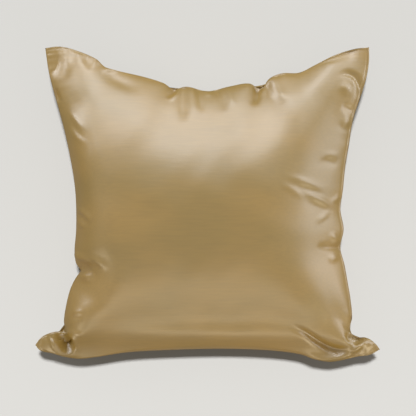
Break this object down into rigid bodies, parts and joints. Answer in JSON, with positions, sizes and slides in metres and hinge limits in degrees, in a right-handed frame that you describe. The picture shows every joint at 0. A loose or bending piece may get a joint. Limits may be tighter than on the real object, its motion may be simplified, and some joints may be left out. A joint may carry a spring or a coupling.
{
  "type": "filled satin cushion cover",
  "caption": "Square satin cushion cover, filled: crowned faces, drawn-in sides, plain knife-edge seam, pointed upper corners and folded lower corners.",
  "frame": {"origin": "centre of the bounding box at its base: the middle of the cushion, on the surface it lies on", "axes": "+Z out of the front panel, +Y towards the edge with the two pointed corners, +X across to the right as the front panel is seen"},
  "size_m": [0.448, 0.41, 0.1477],
  "materials": {
    "satin": "satin"
  },
  "bodies": {
    "root": {"cushion": "satin"}
  },
  "joints": []
}
